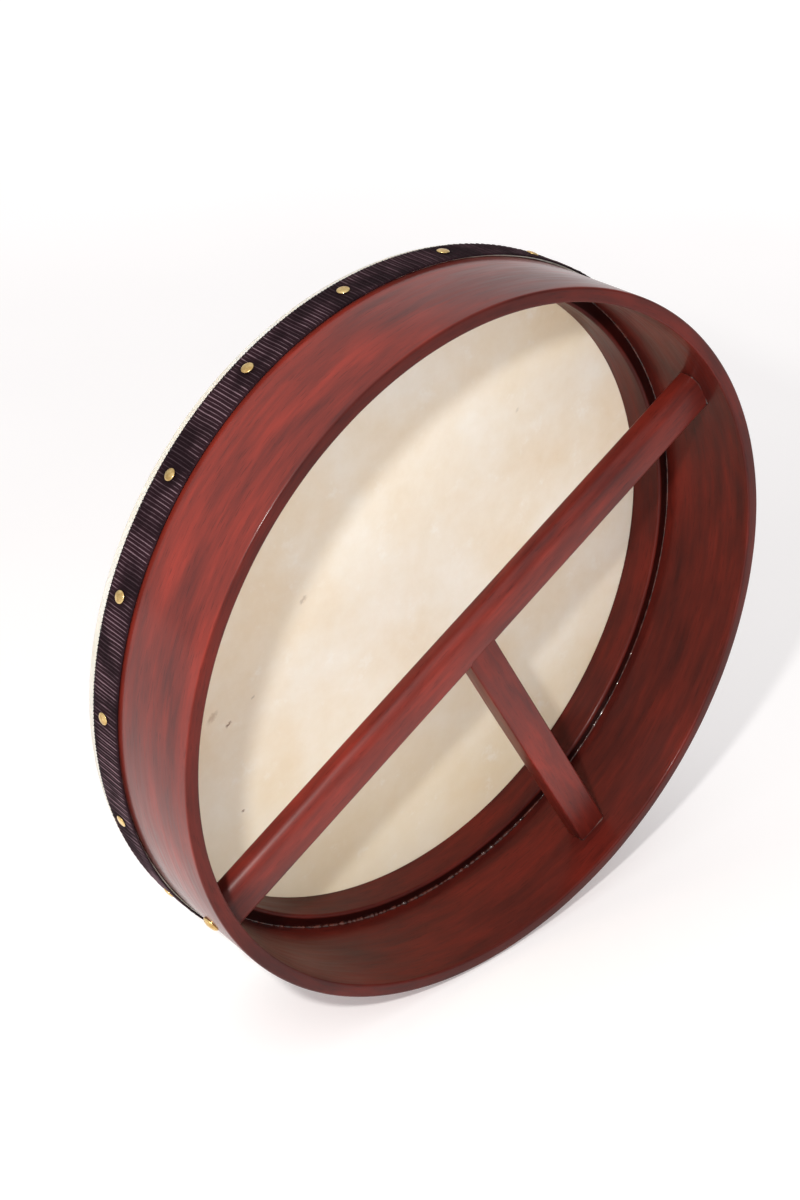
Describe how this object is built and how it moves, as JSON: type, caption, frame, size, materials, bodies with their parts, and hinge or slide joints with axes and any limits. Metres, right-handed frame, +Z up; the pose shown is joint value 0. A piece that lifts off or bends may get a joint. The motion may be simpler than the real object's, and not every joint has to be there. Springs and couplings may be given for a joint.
{
  "type": "bodhran",
  "caption": "Round Irish frame drum with a stained bent-wood shell, a goatskin head under a tacked ribbon, an inner ring and a fixed T-shaped wooden grip.",
  "frame": {"origin": "middle of the footprint, on the surface that the drum stands on, straight below its lowest tack line", "axes": "+Z up; the drum's axis runs along Y, with the open back and the grip towards -Y and the skin towards +Y; +X to the right when looking into the open back"},
  "size_m": [0.4632, 0.0962, 0.4633],
  "materials": {
    "stained_wood": "red-brown mahogany stain under satin lacquer, grain running round the shell and along the bars",
    "dowel_wood": "plain unfinished beech",
    "goatskin": "cream scraped goatskin, mottled, satin",
    "ribbon": "black ribbed ribbon with a soft sheen",
    "brass": "bright domed brass"
  },
  "bodies": {
    "root": {"shell": "stained_wood", "inner_ring": "stained_wood", "crossbar": "stained_wood", "stem": "stained_wood", "stem_dowel": "dowel_wood", "skin_head": "goatskin", "trim_band": "ribbon", "tack_01": "brass", "tack_02": "brass", "tack_03": "brass", "tack_04": "brass", "tack_05": "brass", "tack_06": "brass", "tack_07": "brass", "tack_08": "brass", "tack_09": "brass", "tack_10": "brass", "tack_11": "brass", "tack_12": "brass", "tack_13": "brass", "tack_14": "brass", "tack_15": "brass", "tack_16": "brass", "tack_17": "brass", "tack_18": "brass", "tack_19": "brass", "tack_20": "brass", "crossbar_screw_upper": "brass", "crossbar_screw_lower": "brass", "stem_screw": "brass"}
  },
  "joints": []
}
